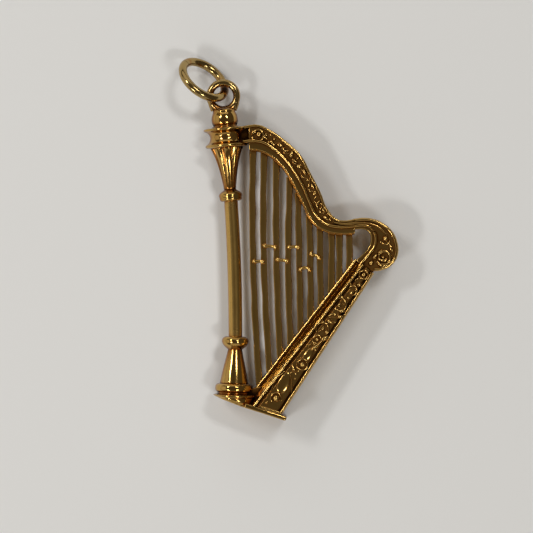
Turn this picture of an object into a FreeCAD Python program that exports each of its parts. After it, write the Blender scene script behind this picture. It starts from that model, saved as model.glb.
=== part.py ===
import FreeCAD, Part
import math
import os

# A harp charm: a cast gold harp with a jump ring through the eye on its head.
# Millimetres. The harp is drawn in its own mid-plane, X to the right and Y up the column, with Z
# towards its front. It is moved at the end so that it lies on its back on Z = 0, with the origin
# under the middle of its box.

# Column: a leaning foot, a bowed shaft and a head that leans back
COLUMN_FOOT_X = 0.05
FOOT_LEAN = 3.4
HEAD_LEAN = -2.8
FOOT_STACK = 5.55
SHAFT_LENGTH = 11.9
SHAFT_RADIUS = 0.575
SHAFT_BOW = 0.10
COLLAR_FIT = 0.05

PLINTH_DROP = 0.29
PLINTH_FLANGE_RADIUS = 1.95
PLINTH_NECK_RADIUS = 1.42
PLINTH_BEAD_RADIUS = 1.62
PLINTH_FLANGE_TOP = 0.50
PLINTH_BEAD_LOW = 0.74
PLINTH_TOP = 1.45
FOOT_BASE_RADIUS = 1.20
FOOT_TOP_RADIUS = 0.64
FOOT_TOP = 4.50
LOWER_COLLAR_RADIUS = 1.19

UPPER_COLLAR_RADIUS = 1.03
UPPER_COLLAR_HEIGHT = 1.02
CONE_HEIGHT = 3.72
CONE_BASE_RADIUS = 0.54
CONE_TOP_RADIUS = 1.33
FLUTE_COUNT = 8
FLUTE_RADIUS = 0.16
FLUTE_TURN = 26
DRUM_HEIGHT = 1.72
DRUM_FLANGE_RADIUS = 1.93
DRUM_WAIST_RADIUS = 1.30
DRUM_FLANGE = 0.36
FINIAL_HEIGHT = 1.45
FINIAL_RADIUS = 1.17
FINIAL_TOP_RADIUS = 0.95

EYE_RADIUS = 1.18
EYE_WIRE = 0.31
EYE_SINK = 0.16

# Jump ring: its place from the eye, the turn of its long axis, and how steeply it leans
RING_RADIUS = 2.13
RING_WIRE = 0.37
RING_OFFSET = (-1.664, 1.473)
RING_TURN = 139.3
RING_TILT = 55.9
RING_SPLIT = 0.05

# Base and soundbox
BASE_SLOPE = 19.7
PLATE_THICKNESS = 0.40
PLATE_START = 0.9
PLATE_OVERHANG = 0.10
PLATE_CORNER = 0.35
SOUNDBOX_FOOT_X = 1.70
SOUNDBOX_ANGLE = 50.6
SOUNDBOX_LENGTH = 15.6
SOUNDBOX_WIDTH_FOOT = 2.62
SOUNDBOX_WIDTH_TOP = 1.40
SOUNDBOX_HALF_FOOT = 1.85
SOUNDBOX_HALF_TOP = 1.25
BACK_ROUND = 0.38
RAIL_STAND = 0.72
RAIL_WIDTH = 0.26
RAIL_HALF = 0.24
BOARD_DISH = 0.40
RIM_WIDTH = 0.24
RIM_HEIGHT = 0.10
PANEL_GAP = 0.16
PANEL_SUNK = 0.12
WEB_HALF = 0.75
WEB_TOP = 1.15

# Neck and shoulder
NECK_HALF = 0.85
NECK_RIM_HALF = 0.98
STRING_RAIL_HALF = 0.62
OUTER_RIM_WIDTH = 0.24
INNER_RIM_WIDTH = 0.26
STRING_RAIL_WIDTH = 0.26
SHOULDER_HALF = 0.95
SHOULDER_RIM_HALF = 1.10
TENON_HALF = 0.50
TENON_LENGTH = 0.45
VOLUTE_RADIUS = 0.62
VOLUTE_STAND = 0.16

# Strings and ties
STRING_COUNT = 10
STRING_RADIUS = 0.26
STRING_FIRST = 2.30
STRING_LAST_GAP = 0.55
STRING_TOP_LEAN = (0.05, 0.07, 0.15, 0.33, 0.10, 0.13, 0.08, 0.16, 0.08, 0.08)
TIE_SHARES = (0.524, 0.569, 0.494, 0.575, 0.441, 0.611)
TIE_SLANTS = (0.0, -0.1, -0.1, 0.0, 0.0, -0.35)
TIE_RADIUS = 0.15
TIE_PROUD = 0.12

UP = FreeCAD.Vector(0, 0, 1)
OVERRUN = 1.0


def vec(x, y, z=0.0):
    return FreeCAD.Vector(x, y, z)


def heading(degrees):
    return vec(math.cos(math.radians(degrees)), math.sin(math.radians(degrees)))


# Places worked out from the driving dimensions

column_foot = vec(COLUMN_FOOT_X, 0)
foot_axis = heading(90 - FOOT_LEAN)
head_axis = heading(90 - HEAD_LEAN)
shaft_foot = column_foot + foot_axis * FOOT_STACK
shaft_top = shaft_foot + vec(0, SHAFT_LENGTH)
cone_foot = shaft_top + head_axis * UPPER_COLLAR_HEIGHT
drum_foot = cone_foot + head_axis * CONE_HEIGHT
finial_foot = drum_foot + head_axis * DRUM_HEIGHT
finial_top = finial_foot + head_axis * FINIAL_HEIGHT
eye_centre = finial_top + head_axis * (EYE_RADIUS + EYE_WIRE - EYE_SINK)

base_run = heading(-BASE_SLOPE)
base_up = heading(90 - BASE_SLOPE)
base_point = column_foot + vec(0, -PLINTH_DROP)
plate_top_point = base_point + base_up * PLATE_THICKNESS
box_run = heading(SOUNDBOX_ANGLE)
box_out = heading(SOUNDBOX_ANGLE - 90)
box_foot = plate_top_point + base_run * (
    (SOUNDBOX_FOOT_X - plate_top_point.x) / base_run.x)
box_top = box_foot + box_run * SOUNDBOX_LENGTH


def box_place(along, out, z=0.0):
    """A point by its distance along the soundbox and out from its front edge."""
    return box_foot + box_run * along + box_out * out + vec(0, 0, z)


# The neck is drawn for a drop of NECK_DROP and a span of NECK_SPAN between the capital and the
# shoulder, and stretched to the places they really have.

NECK_SPAN = 10.91
NECK_DROP = 8.09
DRUM_MIDDLE = 0.5
shoulder_start = box_top + vec(-0.50, 3.34)
drum_middle = drum_foot + head_axis * (DRUM_HEIGHT * DRUM_MIDDLE)
stretch_x = (shoulder_start.x - drum_middle.x) / NECK_SPAN
stretch_y = (drum_middle.y - shoulder_start.y) / NECK_DROP


def neck_place(back, rise):
    """A point of the neck, by how far left of and above the start of the shoulder it is."""
    return shoulder_start + vec(-back * stretch_x, rise * stretch_y)


def shoulder_place(x, y):
    """A point of the shoulder from the start of the shoulder."""
    return shoulder_start + vec(x, y)


# Outlines, left to right: (how far left of the shoulder's start, how far above it)
NECK_TOP_LINE = ((9.9, 8.93), (9.0, 9.08), (8.3, 9.08), (7.3, 8.70), (5.8, 7.60), (4.46, 6.25),
                 (3.65, 4.60), (2.85, 2.95), (2.32, 1.60), (1.5, 0.66), (0.7, 0.52), (0.0, 0.60))
NECK_RIM_LINE = ((8.8, 7.70), (7.7, 7.50), (6.9, 6.95), (5.7, 5.75), (5.1, 4.85), (4.5, 3.75),
                 (3.8, 1.95), (3.0, 0.65), (2.3, 0.15), (1.0, -0.07), (0.0, 0.0))
NECK_LOW_LINE = ((9.1, 6.75), (8.1, 6.78), (7.0, 6.10), (6.2, 5.30), (5.4, 4.10), (4.6, 2.20),
                 (3.7, 0.40), (3.1, -0.20), (2.1, -0.65), (1.0, -0.80), (0.0, -0.75))
# Round the shoulder: (right of its start, above it)
SHOULDER_OUT_LINE = ((0.0, 0.60), (0.9, 0.65), (1.63, 0.52), (2.3, 0.22), (3.2, -0.55),
                     (3.66, -1.55), (3.67, -2.62), (3.1, -3.50), (2.2, -3.93), (1.75, -3.95))
SHOULDER_IN_LINE = ((0.0, -0.26), (0.55, -0.22), (1.0, -0.31), (1.37, -0.65), (1.48, -1.25),
                    (1.25, -1.98), (0.8, -2.48))


def spline(points):
    curve = Part.BSplineCurve()
    curve.interpolate(points)
    return curve


def shifted(curve, aside, steps=28):
    """A curve beside another one, aside to its left."""
    if aside == 0:
        return curve
    first, last = curve.FirstParameter, curve.LastParameter
    points = []
    for i in range(steps + 1):
        at = first + (last - first) * i / steps
        along = curve.tangent(at)[0]
        points.append(curve.value(at) + UP.cross(along).normalize() * aside)
    return spline(points)


def ribbon(curve, low_side, high_side, half):
    """A band along a curve, between two distances to its left, as deep as half on each side."""
    return between(shifted(curve, low_side), shifted(curve, high_side), half)


def between(low, high, half, *corners):
    """A slab between two left-to-right curves, closed on the right by way of the corners."""
    low_start, low_end = ends(low)
    high_start, high_end = ends(high)
    chain = [low_end, *corners, high_end]
    edges = [low.toShape()] + [Part.makeLine(a, b) for a, b in zip(chain, chain[1:])]
    edges += [high.toShape(), Part.makeLine(high_start, low_start)]
    return slab(edges, half)


def ends(curve):
    return curve.value(curve.FirstParameter), curve.value(curve.LastParameter)


def slab(edges, half):
    face = Part.Face(Part.Wire(Part.__sortEdges__(edges)))
    face.translate(vec(0, 0, -half))
    return face.extrude(vec(0, 0, 2 * half))


def polygon(points):
    return Part.makePolygon(list(points) + [points[0]])


def under(point, far=30):
    """Everything below the slope of the base, through a point of it."""
    corners = [point - base_run * far, point + base_run * far,
               point + base_run * far - base_up * far, point - base_run * far - base_up * far]
    return slab(polygon(corners).Edges, far)


def turned(outline, foot, axis):
    """A piece turned about an axis. The outline runs up from (radius, height) to the last one, and
    an entry of two points is an arc through the first of them."""
    edges = []
    at = vec(*outline[0])
    edges.append(Part.makeLine(vec(0, at.y), at))
    for entry in outline[1:]:
        if isinstance(entry[0], tuple):
            via, end = vec(*entry[0]), vec(*entry[1])
            edges.append(Part.Arc(at, via, end).toShape())
        else:
            end = vec(*entry)
            edges.append(Part.makeLine(at, end))
        at = end
    edges.append(Part.makeLine(at, vec(0, at.y)))
    edges.append(Part.makeLine(vec(0, at.y), vec(0, outline[0][1])))
    solid = Part.Face(Part.Wire(edges)).revolve(vec(0, 0), vec(0, 1), 360)
    lean = math.degrees(math.atan2(axis.y, axis.x)) - 90
    solid.rotate(vec(0, 0), UP, lean)
    solid.translate(foot)
    return solid


def rod(start, end, radius):
    return Part.makeCylinder(radius, (end - start).Length, start, end - start)


def bowed_rod(start, end, bow, radius):
    """A round rod on an arc between two points of the mid-plane, bowed to its right."""
    chord = end - start
    reach = (chord.Length ** 2 / 4 + bow ** 2) / (2 * abs(bow))
    pivot = UP * math.copysign(1, bow)
    bulge = chord.cross(pivot).normalize()
    centre = (start + end) * 0.5 + bulge * (abs(bow) - reach)
    turn = 2 * math.degrees(math.asin(chord.Length / 2 / reach))
    section = Part.Face(Part.Wire(Part.makeCircle(radius, start, pivot.cross(start - centre))))
    return section.revolve(centre, pivot, turn)


def less(piece, *others):
    """The piece with its neighbours cut away, so that they meet face to face, and without any
    crumb that the cut leaves on their far side."""
    left = piece.cut(list(others)).Solids
    return max(left, key=lambda solid: solid.Volume)


def both_faces(solids):
    """The solids with their mirror images on the back."""
    return solids + [s.mirror(vec(0, 0), UP) for s in solids]


# Column

def make_plinth():
    solid = turned([
        (PLINTH_FLANGE_RADIUS - 0.08, -PLINTH_DROP - OVERRUN),
        (PLINTH_FLANGE_RADIUS - 0.08, PLINTH_FLANGE_TOP - 0.22),
        ((PLINTH_FLANGE_RADIUS, PLINTH_FLANGE_TOP - 0.10),
         (PLINTH_FLANGE_RADIUS - 0.10, PLINTH_FLANGE_TOP)),
        ((PLINTH_NECK_RADIUS, (PLINTH_FLANGE_TOP + PLINTH_BEAD_LOW) / 2 + 0.05),
         (PLINTH_BEAD_RADIUS - 0.06, PLINTH_BEAD_LOW)),
        ((PLINTH_BEAD_RADIUS, (PLINTH_BEAD_LOW + PLINTH_TOP) / 2),
         (FOOT_BASE_RADIUS + 0.06, PLINTH_TOP)),
    ], column_foot, foot_axis)
    return less(solid, under(base_point))


def make_column_foot():
    waist = FOOT_TOP_RADIUS + (FOOT_BASE_RADIUS - FOOT_TOP_RADIUS) * 0.46
    return turned([
        (FOOT_BASE_RADIUS, PLINTH_TOP),
        ((waist, (PLINTH_TOP + FOOT_TOP) / 2), (FOOT_TOP_RADIUS, FOOT_TOP)),
    ], column_foot, foot_axis)


def make_lower_collar():
    middle = (FOOT_TOP + FOOT_STACK) / 2
    return turned([
        (FOOT_TOP_RADIUS, FOOT_TOP),
        (LOWER_COLLAR_RADIUS - 0.30, FOOT_TOP + 0.20),
        ((LOWER_COLLAR_RADIUS, middle + 0.12), (LOWER_COLLAR_RADIUS - 0.27, FOOT_STACK - 0.06)),
        (SHAFT_RADIUS + COLLAR_FIT, FOOT_STACK),
    ], column_foot, foot_axis)


def make_shaft():
    return bowed_rod(shaft_foot, shaft_top, SHAFT_BOW, SHAFT_RADIUS)


def make_upper_collar():
    middle = UPPER_COLLAR_HEIGHT / 2
    return turned([
        (SHAFT_RADIUS + COLLAR_FIT, 0),
        (UPPER_COLLAR_RADIUS - 0.18, 0.06),
        ((UPPER_COLLAR_RADIUS - 0.04, 0.22), (UPPER_COLLAR_RADIUS - 0.12, 0.36)),
        ((UPPER_COLLAR_RADIUS, middle + 0.14), (UPPER_COLLAR_RADIUS - 0.16, 0.88)),
        (CONE_BASE_RADIUS, UPPER_COLLAR_HEIGHT),
    ], shaft_top, head_axis)


def make_capital_cone():
    cone = turned([
        (CONE_BASE_RADIUS, 0),
        ((CONE_BASE_RADIUS + (CONE_TOP_RADIUS - CONE_BASE_RADIUS) * 0.46, CONE_HEIGHT / 2),
         (CONE_TOP_RADIUS, CONE_HEIGHT)),
    ], cone_foot, head_axis)
    flutes = []
    for i in range(FLUTE_COUNT):
        turn = FreeCAD.Rotation(head_axis, FLUTE_TURN + 360 * i / FLUTE_COUNT)
        out = turn.multVec(UP)
        low = cone_foot + head_axis * (CONE_HEIGHT * 0.14) + out * (CONE_BASE_RADIUS + 0.14)
        high = cone_foot + head_axis * (CONE_HEIGHT * 0.97) + out * (CONE_TOP_RADIUS + 0.06)
        flutes.append(rod(low, high, FLUTE_RADIUS))
    return less(cone, *flutes)


def make_capital_drum():
    low, high = DRUM_FLANGE, DRUM_HEIGHT - DRUM_FLANGE
    return turned([
        (DRUM_FLANGE_RADIUS - 0.30, 0),
        ((DRUM_FLANGE_RADIUS - 0.08, DRUM_FLANGE / 2), (DRUM_FLANGE_RADIUS - 0.26, low)),
        ((DRUM_WAIST_RADIUS, DRUM_HEIGHT / 2 - 0.05), (DRUM_FLANGE_RADIUS - 0.20, high)),
        ((DRUM_FLANGE_RADIUS, DRUM_HEIGHT - DRUM_FLANGE / 2),
         (DRUM_FLANGE_RADIUS - 0.20, DRUM_HEIGHT)),
    ], drum_foot, head_axis)


def make_finial(eye):
    solid = turned([
        (FINIAL_RADIUS, 0),
        ((FINIAL_RADIUS - 0.14, 0.22), (FINIAL_RADIUS - 0.16, 0.30)),
        ((FINIAL_RADIUS, FINIAL_HEIGHT * 0.48), (FINIAL_TOP_RADIUS, FINIAL_HEIGHT * 0.86)),
        (FINIAL_TOP_RADIUS - 0.10, FINIAL_HEIGHT),
        (FINIAL_TOP_RADIUS - 0.32, FINIAL_HEIGHT + EYE_WIRE * 1.1),
    ], finial_foot, head_axis)
    return less(solid, eye)


def make_eye():
    return Part.makeTorus(EYE_RADIUS, EYE_WIRE, eye_centre, UP)


def make_jump_ring():
    long_axis = heading(RING_TURN)
    across = heading(RING_TURN + 90)
    tilt = math.radians(RING_TILT)
    climb = across * math.cos(tilt) + UP * math.sin(tilt)
    lying_height = -lying_depth() + RING_WIRE + RING_RADIUS * math.sin(tilt)
    centre = eye_centre + vec(RING_OFFSET[0], RING_OFFSET[1], lying_height)
    start = centre + long_axis * RING_RADIUS
    section = Part.Face(Part.Wire(Part.makeCircle(RING_WIRE, start, climb)))
    gap = math.degrees(RING_SPLIT / RING_RADIUS)
    return section.revolve(centre, long_axis.cross(climb), 360 - gap)


def lying_depth():
    """How far the mid-plane is above the surface that the charm lies on."""
    return max(DRUM_FLANGE_RADIUS, PLINTH_FLANGE_RADIUS)


# Base and soundbox

def box_shape(sections):
    """A straight loft between a section at the foot and one at the top, each a list of (out, z)."""
    start, end = -2 * OVERRUN, SOUNDBOX_LENGTH
    wires = []
    for at, section in zip((start, end), sections):
        wires.append(polygon([box_place(at, out, z) for out, z in section]))
    return Part.makeLoft(wires, True, True)


def box_size(share):
    """Width and half depth of the soundbox, at a share of the way from its foot to its top."""
    width = SOUNDBOX_WIDTH_FOOT + (SOUNDBOX_WIDTH_TOP - SOUNDBOX_WIDTH_FOOT) * share
    half = SOUNDBOX_HALF_FOOT + (SOUNDBOX_HALF_TOP - SOUNDBOX_HALF_FOOT) * share
    return width, half


FOOT_SHARE = -2 * OVERRUN / SOUNDBOX_LENGTH


def box_section(share):
    width, half = box_size(share)
    rail = -RAIL_STAND + RAIL_WIDTH
    inner = RIM_WIDTH + PANEL_GAP
    side = [(rail, RAIL_HALF), (rail + 0.12, RAIL_HALF + BOARD_DISH), (-0.05, half - 0.30),
            (0.0, half), (inner, half), (inner, half - PANEL_SUNK),
            (width - BACK_ROUND, half - PANEL_SUNK), (width - BACK_ROUND + 0.06, half),
            (width - 0.10, half - 0.16), (width, half - 0.55)]
    return side + [(out, -z) for out, z in reversed(side)]


def make_soundbox():
    solid = box_shape([box_section(FOOT_SHARE), box_section(1)])
    return less(solid, under(plate_top_point))


def make_soundboard_rail():
    low, high = -RAIL_STAND, -RAIL_STAND + RAIL_WIDTH
    section = [(low, -RAIL_HALF), (high, -RAIL_HALF), (high, RAIL_HALF), (low, RAIL_HALF)]
    return less(box_shape([section, section]), under(plate_top_point))


def make_soundbox_rims():
    """Two raised rims on each side face, one along the front edge and one along the back edge."""
    rims = []
    for first, last, taper in ((0.0, RIM_WIDTH, 0), (-BACK_ROUND + 0.10, -BACK_ROUND + 0.24, 1)):
        sections = []
        for share in (FOOT_SHARE, 1):
            width, half = box_size(share)
            low, high = first + width * taper, last + width * taper
            sections.append([(low, half - 0.10), (high, half - 0.10),
                             (high - 0.04, half + RIM_HEIGHT), (low + 0.04, half + RIM_HEIGHT)])
        rims.append(less(box_shape(sections), under(plate_top_point)))
    return rims


def make_base_plate(plinth):
    half = box_size(0)[1]
    start = base_point + base_run * PLATE_START
    length = foot_corner() + PLATE_OVERHANG - PLATE_START
    plate = Part.makeBox(length, PLATE_THICKNESS, 2 * half)
    plate.translate(vec(0, 0, -half))
    corners = [e for e in plate.Edges
               if abs(e.BoundBox.XMin - length) < 0.01 and e.BoundBox.YLength > 0.1]
    plate = plate.makeFillet(PLATE_CORNER, corners)
    plate.rotate(vec(0, 0), UP, -BASE_SLOPE)
    plate.translate(start)
    return less(plate, plinth)


def foot_corner():
    """How far along the base, from under the column, the soundbox's back edge comes down."""
    slope = (SOUNDBOX_WIDTH_TOP - SOUNDBOX_WIDTH_FOOT) / SOUNDBOX_LENGTH
    edge = box_place(0, SOUNDBOX_WIDTH_FOOT) - plate_top_point
    run = box_run + box_out * slope
    down = edge.dot(base_up) / run.dot(base_up)
    return (edge - run * down).dot(base_run)


def make_foot_web():
    """The web that ties the foot of the soundboard to the plinth."""
    left = column_foot.x + PLINTH_NECK_RADIUS * 0.6
    top = column_foot.y + WEB_TOP
    points = [vec(left, top), vec(left, -2 * OVERRUN), vec(SOUNDBOX_FOOT_X + 2, -2 * OVERRUN),
              vec(SOUNDBOX_FOOT_X + 2, top)]
    return slab(polygon(points).Edges, WEB_HALF)


# Ornament

def bead(place, radius, height, squash=0.6):
    """A low domed bead on the front face."""
    ball = Part.makeSphere(radius)
    stretch = FreeCAD.Matrix()
    stretch.scale(1, 1, squash)
    ball = ball.transformGeometry(stretch)
    ball.translate(vec(place.x, place.y, height))
    return ball


SOUNDBOX_BEADS = ((0.10, 0.48, 0.34), (0.27, 0.46, 0.36), (0.40, 0.50, 0.30), (0.53, 0.46, 0.34),
                  (0.66, 0.52, 0.32), (0.79, 0.46, 0.28), (0.95, 0.48, 0.26))


def make_soundbox_ornament():
    """Beads along the side panel: (share of the length, share across the panel, radius)."""
    beads = []
    for share, across, radius in SOUNDBOX_BEADS:
        width, half = box_size(share)
        inner = RIM_WIDTH + PANEL_GAP
        out = inner + (width - BACK_ROUND - inner) * across
        beads.append(bead(box_place(share * SOUNDBOX_LENGTH, out), radius, half - PANEL_SUNK))
    return beads


NECK_BEADS = ((8.3, 8.15, 0.52), (7.2, 7.85, 0.30), (6.4, 7.25, 0.30), (5.5, 6.35, 0.32),
              (4.75, 5.30, 0.30), (4.1, 4.00, 0.28), (3.55, 2.90, 0.28), (3.0, 1.80, 0.26),
              (2.35, 0.95, 0.20))


def make_neck_ornament():
    return [bead(neck_place(back, rise), radius, NECK_HALF) for back, rise, radius in NECK_BEADS]


SHOULDER_BEADS = ((2.65, -1.30, 0.28), (1.70, -2.75, 0.28), (1.40, -3.30, 0.30))


def make_shoulder_beads():
    return [bead(shoulder_place(x, y), radius, SHOULDER_HALF) for x, y, radius in SHOULDER_BEADS]


def make_volute():
    centre = shoulder_place(2.42, -2.82) + vec(0, 0, SHOULDER_HALF - 0.2)
    return [Part.makeCylinder(VOLUTE_RADIUS, 0.2 + VOLUTE_STAND, centre, UP)]


# Neck and shoulder

neck_top = spline([neck_place(*p) for p in NECK_TOP_LINE])
neck_rim = spline([neck_place(*p) for p in NECK_RIM_LINE])
neck_low = spline([neck_place(*p) for p in NECK_LOW_LINE])
shoulder_out = spline([shoulder_place(*p) for p in SHOULDER_OUT_LINE])
shoulder_in = spline([shoulder_place(*p) for p in SHOULDER_IN_LINE] + [
    box_place(SOUNDBOX_LENGTH, -RAIL_STAND + RAIL_WIDTH)])


def make_neck():
    neck = between(shifted(neck_low, STRING_RAIL_WIDTH), shifted(neck_top, -OUTER_RIM_WIDTH),
                   NECK_HALF)
    pocket = Part.makeBox(TENON_LENGTH, 1.0, 9)
    pockets = []
    corner = vec(drum_middle.x + DRUM_FLANGE_RADIUS - TENON_LENGTH, drum_middle.y - 0.42)
    for z in (TENON_HALF, -TENON_HALF - 9):
        cut = pocket.copy()
        cut.translate(corner + vec(0, 0, z))
        pockets.append(cut)
    return less(neck, *pockets)


def make_shoulder():
    heel = box_place(SOUNDBOX_LENGTH, SOUNDBOX_WIDTH_TOP - 0.25)
    return between(shifted(shoulder_in, INNER_RIM_WIDTH), shifted(shoulder_out, -OUTER_RIM_WIDTH),
                   SHOULDER_HALF, heel)


# Strings

def height_on(curve, x):
    """The height of a left-to-right curve at x."""
    low, high = curve.FirstParameter, curve.LastParameter
    for _ in range(40):
        middle = (low + high) / 2
        if curve.value(middle).x < x:
            low = middle
        else:
            high = middle
    return curve.value(low).y


def string_ends(i):
    last = shoulder_start.x - STRING_LAST_GAP
    x = STRING_FIRST + (last - STRING_FIRST) * i / (STRING_COUNT - 1)
    rail = box_place(0, -RAIL_STAND + RAIL_WIDTH / 2)
    low = vec(x, rail.y + (x - rail.x) * box_run.y / box_run.x)
    top_x = x + STRING_TOP_LEAN[i]
    high = vec(top_x, height_on(neck_low, top_x) + STRING_RAIL_WIDTH / 2)
    return low, high


def string_x(i, height):
    """Where the axis of a string is at a height."""
    low, high = string_ends(i)
    return low.x + (high.x - low.x) * (height - low.y) / (high.y - low.y)


def make_string(i):
    return rod(*string_ends(i), STRING_RADIUS)


def make_tie(i):
    """A small bar between a string and the next one, a little proud of them."""
    low, high = string_ends(i)
    y = low.y + (high.y - low.y) * TIE_SHARES[i]
    left = vec(string_x(i, y), y - TIE_SLANTS[i] / 2, TIE_PROUD)
    right = vec(string_x(i + 1, y), y + TIE_SLANTS[i] / 2, TIE_PROUD)
    return rod(left, right, TIE_RADIUS)


# The whole charm

def make_nodes():
    nodes = {}
    nodes["jump_ring"] = [make_jump_ring()]
    eye = make_eye()
    nodes["eye_ring"] = [eye]
    nodes["finial"] = [make_finial(eye)]
    drum, cone = make_capital_drum(), make_capital_cone()
    nodes["capital_drum"] = [drum]
    nodes["capital_cone"] = [cone]
    lower, upper = make_lower_collar(), make_upper_collar()
    nodes["upper_collar"] = [upper]
    nodes["column_shaft"] = [less(make_shaft(), lower, upper)]
    nodes["lower_collar"] = [lower]
    nodes["column_foot"] = [make_column_foot()]
    plinth = make_plinth()
    nodes["plinth"] = [plinth]

    box, rail = make_soundbox(), make_soundboard_rail()
    rims = make_soundbox_rims()
    plate = make_base_plate(plinth)
    nodes["base_plate"] = [plate]
    nodes["soundbox"] = [less(box, plinth, *both_faces(rims))]
    nodes["soundboard_rail"] = [less(rail, plinth)]
    nodes["soundbox_rims"] = both_faces(rims)
    nodes["foot_web"] = [less(make_foot_web(), under(plate_top_point), plinth, box, rail)]
    nodes["soundbox_ornament"] = both_faces([less(b, *rims, box) for b in make_soundbox_ornament()])

    outer_rim = ribbon(neck_top, -OUTER_RIM_WIDTH, 0, NECK_RIM_HALF)
    inner_rim = ribbon(neck_rim, -INNER_RIM_WIDTH / 2, INNER_RIM_WIDTH / 2, NECK_RIM_HALF)
    string_rail = ribbon(neck_low, 0, STRING_RAIL_WIDTH, STRING_RAIL_HALF)
    neck = make_neck()
    nodes["neck"] = [less(neck, inner_rim, drum)]
    nodes["neck_outer_rim"] = [less(outer_rim, drum)]
    nodes["neck_inner_rim"] = [less(inner_rim, drum)]
    nodes["neck_string_rail"] = [string_rail]
    nodes["neck_ornament"] = both_faces(
        [less(b, neck, outer_rim, inner_rim) for b in make_neck_ornament()])

    outer = ribbon(shoulder_out, -OUTER_RIM_WIDTH, 0, SHOULDER_RIM_HALF)
    inner = ribbon(shoulder_in, 0, INNER_RIM_WIDTH, SHOULDER_RIM_HALF)
    shoulder = make_shoulder()
    neck_pieces = [neck, outer_rim, inner_rim]
    nodes["shoulder"] = [less(shoulder, box, *neck_pieces)]
    nodes["shoulder_outer_rim"] = [less(outer, *neck_pieces)]
    nodes["shoulder_inner_rim"] = [less(inner, box, rail, *neck_pieces)]
    volute = make_volute()
    nodes["shoulder_volute"] = both_faces([less(v, shoulder, outer, inner) for v in volute])
    nodes["shoulder_beads"] = both_faces(
        [less(b, shoulder, outer, inner, *volute) for b in make_shoulder_beads()])

    strings = [make_string(i) for i in range(STRING_COUNT)]
    for i, string in enumerate(strings):
        nodes["string_%02d" % (i + 1)] = [less(string, rail, box, string_rail, inner_rim)]
    for i in range(len(TIE_SHARES)):
        nodes["string_tie_%d" % (i + 1)] = [less(make_tie(i), strings[i], strings[i + 1])]
    return nodes


def write_nodes(nodes):
    everything = Part.makeCompound([solid for solids in nodes.values() for solid in solids])
    box = everything.optimalBoundingBox(False)
    home = vec(-box.Center.x, -box.Center.y, -box.ZMin)
    os.makedirs("parts", exist_ok=True)
    for name, solids in nodes.items():
        shape = solids[0] if len(solids) == 1 else Part.makeCompound(solids)
        shape.translate(home)
        shape.exportStep("parts/%s.step" % name)
    print("design origin at", home.x, home.y, home.z)


write_nodes(make_nodes())
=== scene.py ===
import math

import bpy
from mathutils import Matrix, Vector


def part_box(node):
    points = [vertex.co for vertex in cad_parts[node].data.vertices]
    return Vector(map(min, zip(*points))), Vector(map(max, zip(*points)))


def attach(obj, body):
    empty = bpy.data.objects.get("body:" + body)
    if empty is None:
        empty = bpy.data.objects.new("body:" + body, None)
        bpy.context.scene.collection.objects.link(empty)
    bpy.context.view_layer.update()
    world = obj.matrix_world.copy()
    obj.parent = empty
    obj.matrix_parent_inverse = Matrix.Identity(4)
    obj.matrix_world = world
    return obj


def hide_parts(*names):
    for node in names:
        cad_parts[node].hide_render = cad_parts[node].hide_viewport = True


# A cast gold harp charm with its jump ring, lying on its back on a pale floor.
# Each piece is modelled in millimetres about the harp's mid-plane: X to the right, Y up the column
# and Z out of its front. settle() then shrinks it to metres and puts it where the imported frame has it.

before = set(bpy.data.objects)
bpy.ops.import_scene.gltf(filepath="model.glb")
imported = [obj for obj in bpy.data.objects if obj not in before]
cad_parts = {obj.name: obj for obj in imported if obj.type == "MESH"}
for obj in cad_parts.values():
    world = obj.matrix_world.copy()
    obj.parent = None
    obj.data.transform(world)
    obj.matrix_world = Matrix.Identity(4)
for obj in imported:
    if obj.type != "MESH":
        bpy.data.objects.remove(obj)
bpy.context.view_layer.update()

MM = 0.001
EYE_AT = Vector((-0.0722, 26.6692, 0.0))    # the eye's middle, in the harp's own millimetres
eye_low, eye_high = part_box("eye_ring")
home = (Vector(eye_low) + Vector(eye_high)) / 2 - EYE_AT * MM
TO_ROW = Matrix.Translation(home) @ Matrix.Scale(MM, 4)


# ---------------------------------------------------------------- modelling by hand

def deselect():
    if bpy.context.object and bpy.context.object.mode != "OBJECT":
        bpy.ops.object.mode_set(mode="OBJECT")
    bpy.ops.object.select_all(action="DESELECT")


def take(piece):
    """Makes one piece the selected and active one."""
    deselect()
    piece.select_set(True)
    bpy.context.view_layer.objects.active = piece


def named(name):
    """Names the active piece and its mesh."""
    piece = bpy.context.object
    piece.name = piece.data.name = name
    return piece


def edit_all(piece):
    """Opens one piece for editing, selected all over."""
    take(piece)
    bpy.ops.object.mode_set(mode="EDIT")
    bpy.ops.mesh.select_all(action="SELECT")


def carry(piece, matrix):
    """Moves, turns or scales a piece and puts that into its mesh."""
    take(piece)
    piece.matrix_world = matrix
    bpy.ops.object.transform_apply(location=True, rotation=True, scale=True)
    return piece


def apply(piece, kind, **settings):
    """Adds a modifier with its settings and applies it."""
    take(piece)
    modifier = piece.modifiers.new(kind.title(), kind)
    for key, value in settings.items():
        setattr(modifier, key, value)
    bpy.ops.object.modifier_apply(modifier=modifier.name)
    return piece


def clean(piece, merge=0.0005):
    """Closes the seams of a piece and turns its faces outwards."""
    edit_all(piece)
    bpy.ops.mesh.remove_doubles(threshold=merge)
    bpy.ops.mesh.normals_make_consistent(inside=False)
    bpy.ops.object.mode_set(mode="OBJECT")
    return piece


def smooth(piece, angle=40):
    """Shades a piece smooth, apart from edges sharper than the angle in degrees."""
    take(piece)
    bpy.ops.object.shade_smooth_by_angle(angle=math.radians(angle))
    return piece


def join(name, pieces):
    """Makes one piece of several."""
    take(pieces[0])
    for piece in pieces[1:]:
        piece.select_set(True)
    bpy.ops.object.join()
    return named(name)


def both_faces(piece):
    """Repeats on the back what has been modelled on the front."""
    return apply(piece, "MIRROR", use_axis=(False, False, True), use_mirror_merge=False)


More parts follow.
